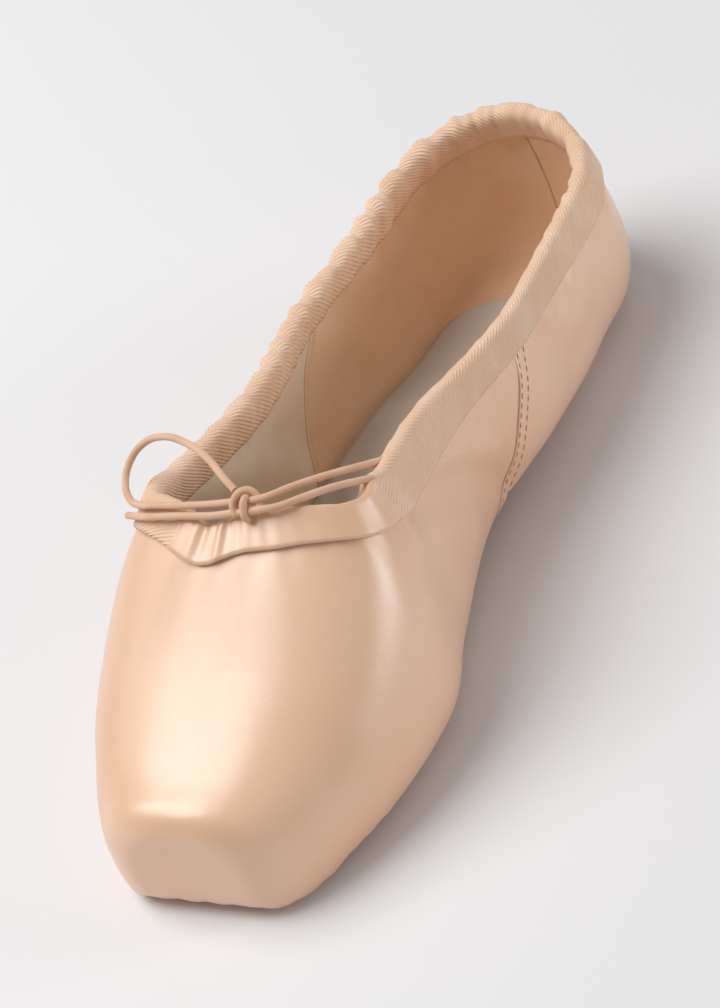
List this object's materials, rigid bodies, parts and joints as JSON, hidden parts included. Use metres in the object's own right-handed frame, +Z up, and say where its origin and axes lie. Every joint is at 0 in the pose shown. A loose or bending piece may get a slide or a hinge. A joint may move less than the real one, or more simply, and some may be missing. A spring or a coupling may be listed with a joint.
{
  "type": "pointe shoe",
  "caption": "Satin pointe shoe with a stiff toe box and flat platform, leather outsole, folded tape binding and a knotted drawstring, standing empty on its sole.",
  "frame": {"origin": "on the floor, under the middle of the shoe's length and width", "axes": "+Y from toe to heel, +X to the right seen from the toe's front view camera, +Z up"},
  "size_m": [0.0838, 0.239, 0.0759],
  "materials": {
    "sole_leather": "matte tan leather with a raw pale edge",
    "satin": "peach satin, fine twill, soft sheen",
    "insole_sock": "pale matte sock",
    "twill_tape": "ribbed cotton tape, matte",
    "cord": "round cotton covered elastic"
  },
  "bodies": {
    "root": {"outsole": "sole_leather", "upper": "satin", "insole": "insole_sock", "heel_strip": "satin", "binding": "twill_tape", "knot": "cord", "strand_upper": "cord", "strand_lower": "cord", "loop": "cord", "tail": "cord"}
  },
  "joints": []
}
